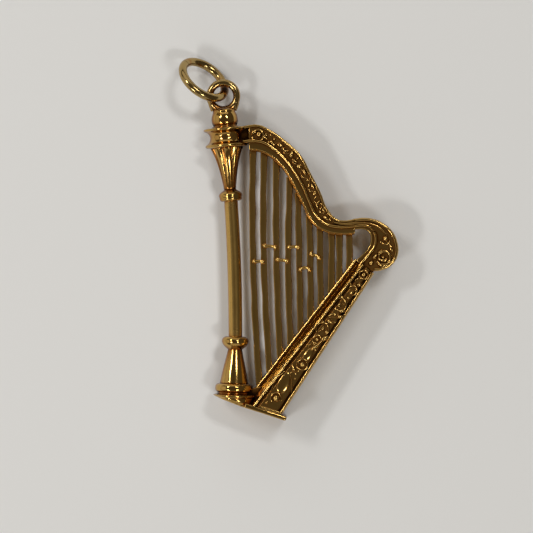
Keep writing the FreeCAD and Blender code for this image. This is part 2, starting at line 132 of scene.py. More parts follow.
def lean_matrix(foot, lean):
    """Stands what was turned about Z on a point of the mid-plane, leaning to the right."""
    return (Matrix.Translation(Vector((foot[0], foot[1], 0)))
            @ Matrix.Rotation(math.radians(-lean), 4, "Z")
            @ Matrix.Rotation(math.radians(-90), 4, "X"))


def turned(name, outline, foot, lean, sides=48, levels=2):
    """Turns an outline of (radius, height) by pulling up a disc, ring by ring, and rounds it off."""
    deselect()
    radius, height = outline[0]
    bpy.ops.mesh.primitive_circle_add(vertices=sides, radius=radius, fill_type="NGON",
                                      location=(0, 0, height))
    bpy.ops.object.transform_apply(location=True)
    piece = named(name)
    edit_all(piece)
    for (old_radius, old_height), (radius, height) in zip(outline, outline[1:]):
        bpy.ops.mesh.extrude_region_move(
            TRANSFORM_OT_translate={"value": (0, 0, height - old_height)})
        share = radius / old_radius
        bpy.ops.transform.resize(value=(share, share, 1), center_override=(0, 0, height))
    bpy.ops.object.mode_set(mode="OBJECT")
    clean(piece)
    apply(piece, "SUBSURF", levels=levels, render_levels=levels)
    return carry(piece, lean_matrix(foot, lean))


def drawn(name, points, closed, resolution, corners=(), **settings):
    """Draws a curve through the points, smooth at all of them but the corners."""
    line = bpy.data.curves.new(name, "CURVE")
    line.resolution_u = resolution
    for key, value in settings.items():
        setattr(line, key, value)
    spline = line.splines.new("BEZIER")
    spline.bezier_points.add(len(points) - 1)
    spline.use_cyclic_u = closed
    for i, (knot, point) in enumerate(zip(spline.bezier_points, points)):
        knot.co = (*point, 0)[:3]
        knot.handle_left_type = knot.handle_right_type = "VECTOR" if i in corners else "AUTO"
    curve = bpy.data.objects.new(name, line)
    bpy.context.collection.objects.link(curve)
    return curve


def meshed(curve, name):
    """Makes a curve a mesh."""
    take(curve)
    bpy.ops.object.convert(target="MESH")
    return named(name)


def squared_section(wide, deep, steps=20, squareness=0.4):
    """The outline of a bar with flat sides and rounded corners."""
    points = []
    for i in range(steps):
        turn = 2 * math.pi * (i + 0.5) / steps
        across, up = math.cos(turn), math.sin(turn)
        points.append((wide * math.copysign(abs(across) ** squareness, across),
                       deep * math.copysign(abs(up) ** squareness, up)))
    return drawn("Section", points, True, 2)


def wire(name, points, radius, swell=None, closed=False, sides=6, steps=10, flat=1.0,
         section=None):
    """A round wire bent smoothly through the points. swell gives its thickness at each of them, and
    flat stretches it front to back. A section makes it a bar of that outline instead."""
    shape = {"bevel_mode": "OBJECT", "bevel_object": section} if section else {}
    curve = drawn(name, points, closed, steps, dimensions="3D", bevel_depth=radius,
                  bevel_resolution=sides, use_fill_caps=not closed, **shape)
    for knot, thickness in zip(curve.data.splines[0].bezier_points, swell or ()):
        knot.radius = thickness
    piece = meshed(curve, name)
    if section:
        take(section)
        bpy.ops.object.delete()
    if flat != 1.0:
        carry(piece, Matrix.Diagonal((1, 1, flat, 1)))
    return clean(piece)


def plate(name, outlines, half, edge):
    """A flat plate with rounded edges, cut to a closed outline of smooth runs that meet at corners."""
    points, corners = [], []
    for run in outlines:
        corners += [len(points), len(points) + len(run) - 1]
        points += run
    curve = drawn(name, points, True, 10, corners, dimensions="2D", fill_mode="BOTH",
                  extrude=half - edge, bevel_depth=edge, bevel_resolution=3)
    return clean(meshed(curve, name))


def bead(x, y, level, radius, height):
    """A domed bead set in a face."""
    deselect()
    bpy.ops.mesh.primitive_uv_sphere_add(segments=20, ring_count=12, radius=radius)
    piece = bpy.context.object
    edit_all(piece)
    bpy.ops.transform.resize(value=(1, 1, height / radius), center_override=(0, 0, 0))
    bpy.ops.transform.translate(value=(x, y, level))
    bpy.ops.object.mode_set(mode="OBJECT")
    return piece


def leaf(x, y, level, length, width, turn, height=0.2, taper=0.75):
    """A domed leaf that narrows towards its tip."""
    deselect()
    bpy.ops.mesh.primitive_uv_sphere_add(segments=20, ring_count=12, radius=0.5,
                                         rotation=(0, math.radians(90), 0))
    bpy.ops.object.transform_apply(rotation=True)
    piece = bpy.context.object
    apply(piece, "SIMPLE_DEFORM", deform_method="TAPER", deform_axis="X", factor=-taper)
    return carry(piece, Matrix.Translation((x, y, level))
                 @ Matrix.Rotation(math.radians(turn), 4, "Z")
                 @ Matrix.Diagonal((length, width, 2 * height, 1)))


def hoop(x, y, level, radius, thick, start=0, end=360, inward=0.0):
    """A ring or an open curl of wire lying on a face. inward winds it up."""
    closed = end - start == 360
    steps = max(6, round(abs(end - start) / 30))
    points = []
    for i in range(steps if closed else steps + 1):
        share = i / steps
        at = math.radians(start + (end - start) * share)
        reach = radius * (1 - inward * share)
        points.append((x + reach * math.cos(at), y + reach * math.sin(at), level))
    return wire("hoop", points, thick, closed=closed, sides=3, steps=4)


# ---------------------------------------------------------------- gold

class Value:
    """A shader value that can be reckoned with like a number."""

    def __init__(self, tree, socket):
        self.tree, self.socket = tree, socket

    def reckon(self, operation, first, second):
        return self.tree.add("ShaderNodeMath", {"operation": operation}, first, second)

    def __add__(self, other):
        return self.reckon("ADD", self, other)

    def __sub__(self, other):
        return self.reckon("SUBTRACT", self, other)

    def __mul__(self, other):
        return self.reckon("MULTIPLY", self, other)

    def __rsub__(self, other):
        return self.reckon("SUBTRACT", other, self)

    __radd__, __rmul__ = __add__, __mul__


class Finish:
    """A material, with one method that adds any node to it."""

    def __init__(self, name):
        self.material = bpy.data.materials.new(name)
        self.material.use_nodes = True
        self.nodes = self.material.node_tree.nodes
        self.links = self.material.node_tree.links
        self.shader = self.nodes["Principled BSDF"]

    def add(self, kind, settings=None, *plugs, out=0, **named_plugs):
        """Adds a node, with its settings and what goes into its sockets, and gives one output."""
        node = self.nodes.new(kind)
        for key, value in (settings or {}).items():
            if key == "stops":
                elements = node.color_ramp.elements
                while len(elements) < len(value):
                    elements.new(0.5)
                for stop, (place, colour) in zip(elements, value):
                    stop.position, stop.color = place, (*colour, 1)
            else:
                setattr(node, key, value)
        for socket, value in [*enumerate(plugs), *named_plugs.items()]:
            if value is not None:
                self.plug(node.inputs[socket], value)
        return Value(self, node.outputs[out])

    def plug(self, socket, value):
        if isinstance(value, Value):
            self.links.new(value.socket, socket)
        else:
            socket.default_value = value

    def feed(self, **values):
        """Sets sockets of the surface shader."""
        for key, value in values.items():
            self.plug(self.shader.inputs[key.replace("_", " ")], value)


def gold(name, bright, rough, reach, depth, edge=0.35, side_shade_span=1.1, grain=0.000003):
    """Worn gold, going from its own colour through amber to nearly black in the hollows and along the
    sides.
    In the hollows that is partly the tarnish the gold keeps there and partly painted shade, since the
    occlusion also counts neighbouring parts and, for the wider reaches, the floor. Along the sides, near
    the mid-plane, it
    is painted shade only: the dark reflection of the shaded floor beside the charm. reach is how wide a
    hollow darkens, in metres, and depth how dark it gets; edge is how dark the painted side shade is,
    and side_shade_span how far from the mid-plane, in millimetres, it fades out. grain is the height of
    the cast skin, in metres."""
    finish = Finish(name)
    spot = finish.add("ShaderNodeTexCoord", out=3)
    clouds = finish.add("ShaderNodeTexNoise", None, spot, Scale=450.0, Detail=3.0)
    pits = finish.add("ShaderNodeTexNoise", None, spot, Scale=5200.0, Detail=4.0)
    # Occlusion within reach: darker in hollows and between parts, and, for the wider reaches, towards
    # the floor. This is partly tarnish and partly painted shade.
    open_sky = finish.add("ShaderNodeAmbientOcclusion", {"samples": 12}, out=1, Distance=reach)
    # Painted shade along the sides: strongest at the mid-plane and fading out towards either face,
    # standing for the shaded floor that the sides reflect.
    level = finish.add("ShaderNodeSeparateXYZ", None, spot, out=2) - home.z
    away = finish.add("ShaderNodeMath", {"operation": "ABSOLUTE"}, level)
    side = finish.add("ShaderNodeMath", {"operation": "SUBTRACT", "use_clamp": True}, 1.0,
                      away * (1 / (side_shade_span * MM)))
    # Hollow darkening (partly tarnish, partly painted shade), plus the painted side shade, plus random
    # tone. The ramp turns this from the gold's own colour through amber to near black.
    tarnish_and_shade = (1 - open_sky) * depth + side * edge + (clouds - 0.5) * 0.35
    amber, dark = (0.36, 0.14, 0.025), (0.020, 0.008, 0.002)
    stops = [(0.06, bright), (0.42, amber), (0.85, dark)]
    colour = finish.add("ShaderNodeValToRGB", {"stops": stops}, tarnish_and_shade)
    normal = finish.add("ShaderNodeBump", None, Strength=1.0, Distance=grain, Height=pits)
    finish.feed(Base_Color=colour, Roughness=rough + tarnish_and_shade * 0.25 + (pits - 0.5) * 0.06,
                Metallic=1.0, Normal=normal)
    return finish.material


# Each finish: its gold, roughness, hollow reach and darkness, then how dark its painted side shade is
# and how far it spreads.
GOLD = (0.58, 0.37, 0.11)
DEEP_GOLD = (0.53, 0.33, 0.095)
cast_gold = gold("Cast_Gold", GOLD, 0.13, 0.0006, 2.0, edge=0.40, side_shade_span=0.9)
panel_gold = gold("Panel_Gold", DEEP_GOLD, 0.16, 0.0006, 1.15, edge=0.0)
rail_gold = gold("Rail_Gold", GOLD, 0.14, 0.0003, 0.6, edge=0.0)
polished_gold = gold("Polished_Gold", DEEP_GOLD, 0.10, 0.0014, 0.9, edge=0.72, side_shade_span=0.8)
worn_gold = gold("Worn_Gold", GOLD, 0.24, 0.0012, 0.8, edge=0.45, side_shade_span=0.45)
string_gold = gold("String_Gold", (0.63, 0.40, 0.12), 0.16, 0.0006, 1.2, edge=0.45, side_shade_span=0.24,
                   grain=0.000009)
ring_gold = gold("Ring_Gold", (0.42, 0.29, 0.11), 0.14, 0.0012, 1.1, edge=0.30, side_shade_span=0.25)


def settle(piece, nodes, material, body="harp"):
    """Puts a finished piece into the frame, in its finish, for the CAD nodes that it stands for."""
    carry(piece, TO_ROW)
    piece.data.materials.clear()
    piece.data.materials.append(material)
    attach(piece, body)
    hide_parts(*nodes)


# ---------------------------------------------------------------- column

FOOT = Vector((0.05, 0.0))
FOOT_LEAN = 3.4
FOOT_STACK = 5.55
SHAFT_LEAN = -0.2
SHAFT_LENGTH = 11.9
SHAFT_RADIUS = 0.60
SHAFT_BOW = 0.10
HEAD_LEAN = -2.8
UPPER_COLLAR_HEIGHT, CONE_HEIGHT, DRUM_HEIGHT = 1.02, 3.72, 1.72


def along(start, lean, length):
    """The point that far up a line leaning to the right."""
    at = math.radians(lean)
    return start + Vector((math.sin(at), math.cos(at))) * length


shaft_foot = along(FOOT, FOOT_LEAN, FOOT_STACK)
shaft_top = along(shaft_foot, SHAFT_LEAN, SHAFT_LENGTH)
cone_foot = along(shaft_top, HEAD_LEAN, UPPER_COLLAR_HEIGHT)
drum_foot = along(cone_foot, HEAD_LEAN, CONE_HEIGHT)
finial_foot = along(drum_foot, HEAD_LEAN, DRUM_HEIGHT)

BASE_SLOPE = math.radians(19.7)
PLINTH_DROP = 0.29
PLATE_THICKNESS = 0.40
base_run = Vector((math.cos(BASE_SLOPE), -math.sin(BASE_SLOPE)))
base_up = Vector((math.sin(BASE_SLOPE), math.cos(BASE_SLOPE)))
base_point = FOOT - Vector((0, PLINTH_DROP))
plate_top_point = base_point + base_up * PLATE_THICKNESS


def cut_below(piece, point, up):
    """Cuts a piece off flat below a plane that stands square to the mid-plane."""
    edit_all(piece)
    bpy.ops.mesh.bisect(plane_co=(*point, 0), plane_no=(*up, 0), use_fill=True, clear_inner=True)
    bpy.ops.object.mode_set(mode="OBJECT")
    return piece


def make_plinth():
    """A bead and a flange over a hollow neck, cut off along the slope of the base, to which the
    lowest part draws in."""
    drawn_in, draw = 0.42, 0.16
    piece = turned("Plinth", [
        (1.86, -1.5), (1.88, -0.6), (1.88, 0.02), (1.89, 0.14), (1.84, 0.20), (1.84, 0.23),
        (1.93, 0.27), (1.955, 0.36), (1.93, 0.45), (1.80, 0.49), (1.55, 0.53), (1.44, 0.58),
        (1.41, 0.64), (1.46, 0.72), (1.58, 0.77), (1.64, 0.86), (1.665, 1.02), (1.65, 1.2),
        (1.58, 1.35), (1.42, 1.44), (1.24, 1.46), (1.20, 1.50)], FOOT, FOOT_LEAN)
    cut_below(piece, base_point + base_up * 0.03, base_up)
    for vertex in piece.data.vertices:
        x, y = vertex.co.x, vertex.co.y
        height = (Vector((x, y)) - base_point).dot(base_up)
        if height < drawn_in:
            axis = FOOT.x + math.tan(math.radians(FOOT_LEAN)) * y
            share = 1 - draw * (1 - height / drawn_in) ** 2
            vertex.co.x, vertex.co.z = axis + (x - axis) * share, vertex.co.z * share
    settle(smooth(piece, 50), ["plinth"], polished_gold)


def make_column_foot():
    piece = turned("Column_Foot", [
        (1.10, 1.42), (1.235, 1.47), (1.25, 1.52), (1.22, 1.66), (1.16, 2.0), (1.06, 2.5),
        (0.95, 3.0), (0.83, 3.5), (0.73, 3.95), (0.65, 4.3), (0.61, 4.5), (0.60, 4.56)],
        FOOT, FOOT_LEAN)
    settle(smooth(piece), ["column_foot"], polished_gold)


def make_lower_collar():
    piece = turned("Lower_Collar", [
        (0.58, 4.40), (0.66, 4.46), (0.80, 4.58), (1.02, 4.76), (1.15, 4.96), (1.20, 5.16),
        (1.17, 5.34), (1.06, 5.48), (0.86, 5.57), (0.66, 5.58), (0.60, 5.60)], FOOT, FOOT_LEAN)
    settle(smooth(piece), ["lower_collar"], polished_gold)


def make_shaft():
    """A rod bowed slightly to the right, which starts inside the lower collar."""
    middle = (shaft_foot + shaft_top) / 2 + Vector((SHAFT_BOW, 0))
    quarter = Vector((SHAFT_BOW / 4, 0))
    points = [shaft_foot - Vector((0, 0.05)), (shaft_foot + middle) / 2 + quarter,
              middle, (middle + shaft_top) / 2 + quarter, shaft_top]
    piece = wire("Column_Shaft", points, SHAFT_RADIUS, swell=[1.0, 1.02, 1.02, 1.01, 1.0],
                 sides=14, steps=16)
    settle(smooth(piece), ["column_shaft"], worn_gold)


def make_upper_collar():
    piece = turned("Upper_Collar", [
        (0.58, -0.03), (0.74, 0.0), (0.88, 0.03), (0.97, 0.12), (1.00, 0.24), (0.975, 0.31),
        (1.02, 0.38), (1.045, 0.52), (1.00, 0.66), (0.86, 0.80), (0.68, 0.90), (0.56, 0.98),
        (0.52, 1.05)], shaft_top, HEAD_LEAN)
    settle(smooth(piece), ["upper_collar"], polished_gold)


def make_capital_cone():
    """Eight lobes, with a groove between each two that dies out at the collar."""
    lobes, first_lobe, narrow = 8, math.radians(64), 7
    outline = [(0.50, -0.04), (0.55, 0.05), (0.56, 0.3), (0.62, 0.7), (0.70, 1.2), (0.80, 1.7),
               (0.93, 2.3), (1.08, 2.8), (1.22, 3.2), (1.36, 3.5), (1.44, 3.66), (1.44, 3.74)]
    piece = turned("Capital_Cone", outline, (0, 0), 0, sides=lobes * 12, levels=1)
    height = outline[-1][1]
    for vertex in piece.data.vertices:
        x, y, z = vertex.co
        turn = math.atan2(x, z) + first_lobe
        groove = abs(math.cos(turn * lobes / 2)) ** narrow
        share = min(1, max(0, (y - 0.25) / 0.5)) * min(1, (height - y) / 0.15 + 0.4)
        shrink = 1 - (0.05 + 0.13 * y / height) * groove * max(0, share)
        vertex.co.x, vertex.co.z = x * shrink, z * shrink
    carry(piece, Matrix.Translation((*cone_foot, 0))
          @ Matrix.Rotation(math.radians(-HEAD_LEAN), 4, "Z"))
    settle(smooth(piece, 60), ["capital_cone"], polished_gold)


def make_capital_drum():
    piece = turned("Capital_Drum", [
        (1.30, -0.06), (1.66, -0.03), (1.82, 0.04), (1.88, 0.14), (1.84, 0.25), (1.70, 0.33),
        (1.56, 0.42), (1.45, 0.60), (1.39, 0.82), (1.40, 1.02), (1.48, 1.20), (1.60, 1.34),
        (1.74, 1.42), (1.88, 1.47), (1.94, 1.55), (1.93, 1.64), (1.82, 1.70), (1.30, 1.73)],
        drum_foot, HEAD_LEAN)
    settle(smooth(piece), ["capital_drum"], polished_gold)


def make_finial():
    piece = turned("Finial", [
        (1.10, -0.03), (1.20, 0.0), (1.20, 0.07), (1.06, 0.12), (1.02, 0.18), (1.08, 0.28),
        (1.14, 0.45), (1.16, 0.65), (1.14, 0.9), (1.08, 1.14), (1.01, 1.28), (0.97, 1.36),
        (1.00, 1.44), (0.94, 1.58), (0.76, 1.68), (0.5, 1.74)], finial_foot, HEAD_LEAN)
    settle(smooth(piece), ["finial"], polished_gold)


EYE_RADIUS, EYE_WIRE = 1.18, 0.31


def make_eye():
    """A ring of wire on two legs that run down into the finial."""
    deselect()
    bpy.ops.mesh.primitive_torus_add(location=EYE_AT, major_radius=EYE_RADIUS,
                                     minor_radius=EYE_WIRE, major_segments=96,
                                     minor_segments=32)
    bpy.ops.object.transform_apply(location=True)
    ring = named("ring")
    legs = [wire("leg", [(-1.17, 26.45, 0), (-1.12, 26.05, 0), (-0.93, 25.42, 0)], 0.27,
                 swell=[0.9, 1.1, 1.0], sides=5),
            wire("leg", [(1.02, 26.45, 0), (0.98, 26.02, 0), (0.80, 25.42, 0)], 0.28,
                 swell=[0.9, 1.15, 1.0], sides=5)]
    piece = join("Eye_Ring", [ring, *legs])
    settle(smooth(piece, 60), ["eye_ring"], ring_gold)


RING_RADIUS, RING_WIRE = 2.13, 0.37
RING_TIP, RING_TURN = math.radians(55.9), math.radians(139.3)


def make_jump_ring():
    """Round wire spun almost shut, then leaned and turned to the way that it lies."""
    deselect()
    bpy.ops.mesh.primitive_circle_add(vertices=32, radius=RING_WIRE, fill_type="NGON",
                                      location=(RING_RADIUS, 0, 0),
                                      rotation=(math.radians(90), 0, 0))
    bpy.ops.object.transform_apply(location=True, rotation=True)
    piece = named("Jump_Ring")
    edit_all(piece)
    bpy.ops.mesh.spin(steps=120, angle=math.radians(358.8), center=(0, 0, 0), axis=(0, 0, 1))
    bpy.ops.object.mode_set(mode="OBJECT")
    clean(piece, 0.0001)
    low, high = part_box("jump_ring")
    centre = (Vector(low) + Vector(high)) / 2
    carry(piece, TO_ROW.inverted() @ Matrix.Translation(centre) @ Matrix.Scale(MM, 4)
          @ Matrix.Rotation(RING_TURN, 4, "Z") @ Matrix.Rotation(RING_TIP, 4, "X"))
    settle(smooth(piece), ["jump_ring"], ring_gold, body="jump_ring")


# ---------------------------------------------------------------- soundbox

SOUNDBOX_ANGLE = math.radians(50.6)
box_run = Vector((math.cos(SOUNDBOX_ANGLE), math.sin(SOUNDBOX_ANGLE)))
box_out = Vector((math.sin(SOUNDBOX_ANGLE), -math.cos(SOUNDBOX_ANGLE)))
BOX_FOOT_X = 1.70
BOX_LENGTH = 15.6
BOX_WIDTH_FOOT, BOX_WIDTH_TOP = 2.62, 1.40
BOX_HALF_FOOT, BOX_HALF_TOP = 1.85, 1.25
RAIL_OUT = -0.59
box_foot = plate_top_point + base_run * ((BOX_FOOT_X - plate_top_point.x) / base_run.x)


def box_place(length, out):
    """A point that far up the soundbox and that far out from its soundboard."""
    return box_foot + box_run * length + box_out * out


def box_size(share):
    """Width and half depth of the soundbox, at a share of the way up it."""
    return (BOX_WIDTH_FOOT + (BOX_WIDTH_TOP - BOX_WIDTH_FOOT) * share,
            BOX_HALF_FOOT + (BOX_HALF_TOP - BOX_HALF_FOOT) * share)


def box_line(out, level, start=0.0, end=1.0, steps=3):
    """Points along the soundbox. out and level are worked out from its width and half depth."""
    points = []
    for i in range(steps):
        share = start + (end - start) * i / (steps - 1)
        width, half = box_size(share)
        points.append((*box_place(share * BOX_LENGTH, out(width)), level(half)))
    return points


def make_soundbox():
    """A bar pulled out between two sections, the section going round from the soundboard's middle."""
    wires = []
    for share in (-0.16, 1.0):
        width, half = box_size(share)
        side = [(-0.50, 0.20), (-0.42, 0.28), (-0.30, 0.42), (-0.17, half * 0.42),
                (-0.07, half * 0.72), (0.00, half - 0.16), (0.05, half - 0.03), (0.16, half),
                (0.26, half - 0.02), (0.33, half - 0.14), (0.37, half - 0.26),
                (0.44, half - 0.26), (0.48, half - 0.12), (0.56, half - 0.07),
                (width - 0.58, half - 0.07), (width - 0.50, half - 0.12),
                (width - 0.45, half - 0.34), (width - 0.36, half - 0.34),
                (width - 0.31, half - 0.10), (width - 0.22, half - 0.02),
                (width - 0.12, half - 0.10), (width - 0.02, half - 0.34),
                (width + 0.01, half - 0.7)]
        section = side + [(out, -z) for out, z in reversed(side)]
        wires.append([(*box_place(share * BOX_LENGTH, out), z) for out, z in section])
    piece = bar_between("Soundbox", *wires)
    cut_below(piece, plate_top_point, base_up)
    return piece


def bar_between(name, first, last):
    """A disc shaped to one section and pulled out to the other."""
    deselect()
    bpy.ops.mesh.primitive_circle_add(vertices=len(first), radius=1, fill_type="NGON")
    piece = named(name)
    bpy.ops.object.mode_set(mode="EDIT")
    bpy.ops.mesh.select_all(action="SELECT")
    bpy.ops.mesh.extrude_region_move(TRANSFORM_OT_translate={"value": (0, 0, 1)})
    bpy.ops.object.mode_set(mode="OBJECT")
    count = len(first)
    for vertex in piece.data.vertices:
        section = last if vertex.co.z > 0.5 else first
        turn = math.atan2(-vertex.co.x, vertex.co.y) / (2 * math.pi) * count
        vertex.co = section[round(turn) % count]
    return clean(piece)


def soundbox_ornament():
    """A vine that climbs the side panel: leaves, curls and beads."""
    panel_foot, panel_rise, sunk = -0.4, 12.4, 0.09

    def on(y):
        """How far the panel stands from the mid-plane at a height."""
        share = max(0.0, min(1.0, (y - panel_foot) / panel_rise))
        return box_size(share)[1] - sunk

    pieces = [bead(3.77, 0.12, on(0.1), 0.30, 0.26),
              hoop(3.77, 0.12, on(0.1) + 0.02, 0.46, 0.07, -40, 220),
              leaf(4.50, 1.45, on(1.5) - 0.02, 2.0, 1.05, 66, 0.13, 0.5),
              leaf(6.70, 3.85, on(3.8) - 0.02, 1.4, 0.75, 55, 0.14, 0.5),
              wire("ridge", [(5.15, 0.55, on(1)), (5.18, 1.6, on(1.5)), (4.98, 2.45, on(2.5))],
                   0.06, sides=3, steps=6),
              wire("ridge", [(3.35, 0.75, on(1)), (3.75, 1.65, on(1.5)), (4.55, 2.45, on(2.5))],
                   0.06, sides=3, steps=6),
              wire("moulding", [(2.45, -0.62, on(0)), (3.20, -0.88, on(0)), (4.05, -1.18, on(0))],
                   0.13, sides=4, steps=6)]
    for x, y, radius in ((5.50, 1.75, 0.12), (5.55, 2.20, 0.12), (7.20, 4.70, 0.13),
                         (7.58, 4.62, 0.14), (7.30, 4.22, 0.13), (8.05, 6.62, 0.16),
                         (8.35, 5.75, 0.15), (9.15, 7.25, 0.13), (10.35, 8.65, 0.14),
                         (11.10, 9.35, 0.12), (10.60, 9.85, 0.12), (6.15, 2.97, 0.26),
                         (7.50, 5.12, 0.18), (11.75, 10.65, 0.20), (2.95, -0.25, 0.12)):
        pieces.append(bead(x, y, on(y), radius, radius * 0.9))
    for x, y, radius, start, end in ((6.15, 2.97, 0.46, 0, 360), (7.50, 5.12, 0.38, 0, 360),
                                     (8.00, 6.02, 0.55, -60, 210), (9.60, 8.12, 0.55, -150, 150),
                                     (8.95, 6.95, 0.38, 60, 300), (10.72, 9.30, 0.40, -100, 130),
                                     (11.75, 10.65, 0.38, 0, 360)):
        pieces.append(hoop(x, y, on(y), radius, 0.085, start, end))
    for x, y, length, width, turn in ((8.20, 5.22, 0.8, 0.40, 30), (8.72, 6.62, 0.7, 0.36, -25),
                                      (9.80, 7.55, 0.7, 0.34, 5), (9.60, 7.05, 0.6, 0.30, 20),
                                      (9.85, 8.70, 0.5, 0.30, -40), (10.66, 9.12, 0.5, 0.34, 25),
                                      (11.36, 9.78, 0.5, 0.34, 20), (7.35, 4.50, 0.9, 0.34, 30),
                                      (5.35, 2.75, 0.8, 0.30, 110), (8.05, 6.10, 0.5, 0.34, 60),
                                      (9.55, 8.10, 0.5, 0.36, 60)):
        pieces.append(leaf(x, y, on(y), length, width, turn, 0.20))
    stem = [tuple(box_place(BOX_LENGTH * t, 0.44 + (box_size(t)[0] - 0.95) * 0.5))
            for t in (0.22, 0.35, 0.48, 0.60, 0.72, 0.84, 0.95)]
    pieces.append(vine(stem, 0.28, lambda share: on(2.4 + 8.9 * share), 0.065, 8))
    return pieces


def make_soundbox_pieces():
    """The soundbox, and the rims, ornament and string rail that lie along it."""
    settle(smooth(make_soundbox(), 30), ["soundbox"], panel_gold)
    rims = [wire("rim", box_line(lambda w: 0.14, lambda h: h - 0.03, -0.01, 1.0, 9), 0.13,
                 swell=[1, 0.95, 1.05, 0.96, 1.02, 0.94, 1.04, 0.98, 1.0], sides=3, steps=4),
            wire("rim", box_line(lambda w: w - 0.20, lambda h: h - 0.10, 0.02, 0.985, 9), 0.12,
                 swell=[1, 1.04, 0.96, 1.02, 0.95, 1.03, 0.97, 1.0, 0.9], sides=3, steps=4)]
    piece = both_faces(join("Soundbox_Rims", rims))
    cut_below(piece, plate_top_point, base_up)
    settle(smooth(piece, 60), ["soundbox_rims"], cast_gold)
    ornament = both_faces(join("Soundbox_Ornament", soundbox_ornament()))
    settle(smooth(ornament, 60), ["soundbox_ornament"], cast_gold)
    line = box_line(lambda w: RAIL_OUT, lambda h: 0.22, -0.02, 1.0, 9)
    crest = wire("crest", line, 0.15, sides=4, steps=4,
                 swell=[1.05, 0.96, 1.05, 0.95, 1.04, 0.97, 1.04, 1.0, 1.0])
    web = wire("web", [(x, y, 0.0) for x, y, z in line], 0.12, sides=3, steps=4, flat=2.0)
    rail = join("Soundboard_Rail", [both_faces(crest), web])
    cut_below(rail, plate_top_point, base_up)
    settle(smooth(rail, 60), ["soundboard_rail"], rail_gold)


def make_base():
    """The slanted plate under the soundbox, and the web between the plinth and the soundbox."""
    start, end, half = base_point + base_run * 0.95, base_point + base_run * 4.78, 1.84
    lift = base_up * PLATE_THICKNESS
    outline = [start, start + lift, end + lift, end]
    first = [(*p, -half) for p in outline]
    last = [(*p, half) for p in outline]
    piece = bar_between("Base_Plate", first, last)
    apply(piece, "BEVEL", width=0.13, segments=4, limit_method="ANGLE",
          angle_limit=math.radians(50))
    settle(smooth(piece, 50), ["base_plate"], polished_gold)
    web = [Vector((1.0, 1.05)), Vector((1.0, -0.45)), Vector((2.05, -0.65)), Vector((2.6, 1.15)),
           Vector((2.15, 1.10)), Vector((1.75, 0.98))]
    half = 0.5
    piece = bar_between("Foot_Web", [(*p, -half) for p in web], [(*p, half) for p in web])
    apply(piece, "BEVEL", width=0.10, segments=3, limit_method="ANGLE",
          angle_limit=math.radians(50))
    settle(smooth(piece, 50), ["foot_web"], cast_gold)


# ---------------------------------------------------------------- neck and shoulder

NECK_TOP = ((1.25, 23.90), (2.10, 24.03), (2.85, 24.06), (3.85, 23.63), (5.30, 22.55),
            (6.62, 21.20), (7.42, 19.60), (8.20, 18.00), (8.76, 16.50), (9.60, 15.58),
            (10.35, 15.45), (11.10, 15.55))
NECK_RIM = ((1.55, 22.60), (2.30, 22.64), (3.25, 22.50), (4.20, 21.92), (5.35, 20.75),
            (6.05, 19.72), (6.65, 18.60), (7.20, 17.20), (7.62, 16.20), (8.15, 15.52),
            (8.85, 15.08), (9.60, 14.91), (10.35, 14.88), (11.10, 14.95))
NECK_LOW = ((2.25, 21.95), (2.75, 21.88), (3.40, 21.66), (4.15, 21.18), (4.95, 20.35),
            (5.65, 19.25), (6.20, 18.12), (6.75, 16.90), (7.20, 15.88), (7.65, 15.22),
            (8.30, 14.76), (9.10, 14.45), (10.10, 14.32), (11.05, 14.36))
SHOULDER_OUT = ((11.10, 15.55), (11.90, 15.60), (12.73, 15.48), (13.45, 15.17), (14.30, 14.43),
                (14.76, 13.40), (14.77, 12.33), (14.25, 11.47), (13.40, 11.03), (12.72, 10.98))
SHOULDER_IN = ((11.22, 11.92), (11.90, 12.50), (12.33, 12.98), (12.56, 13.70), (12.45, 14.33),
               (12.05, 14.66), (11.60, 14.74), (11.10, 14.70))
SHOULDER_MIDDLE = ((9.30, 15.30), (10.00, 15.15), (10.60, 15.13), (11.20, 15.18), (12.00, 15.15),
                   (12.70, 15.03), (13.35, 14.62), (13.95, 14.05))


NECK_HALF, TENON_HALF, SHOULDER_HALF = 0.85, 0.45, 0.95


def offset(points, aside):
    """The points of a line moved to its left."""
    moved = []
    for i, (x, y) in enumerate(points):
        before, after = points[max(0, i - 1)], points[min(len(points) - 1, i + 1)]
        run = Vector((after[0] - before[0], after[1] - before[1])).normalized()
        moved.append((x - run.y * aside, y + run.x * aside))
    return moved


def on_face(points, level):
    """The points of a line lifted off the mid-plane."""
    return [(x, y, level) for x, y in points]


def uneven(count, spread, step=2.4):
    """Thicknesses that waver as a hand-finished line does."""
    return [1 + spread * math.sin(i * step + 0.7) for i in range(count)]


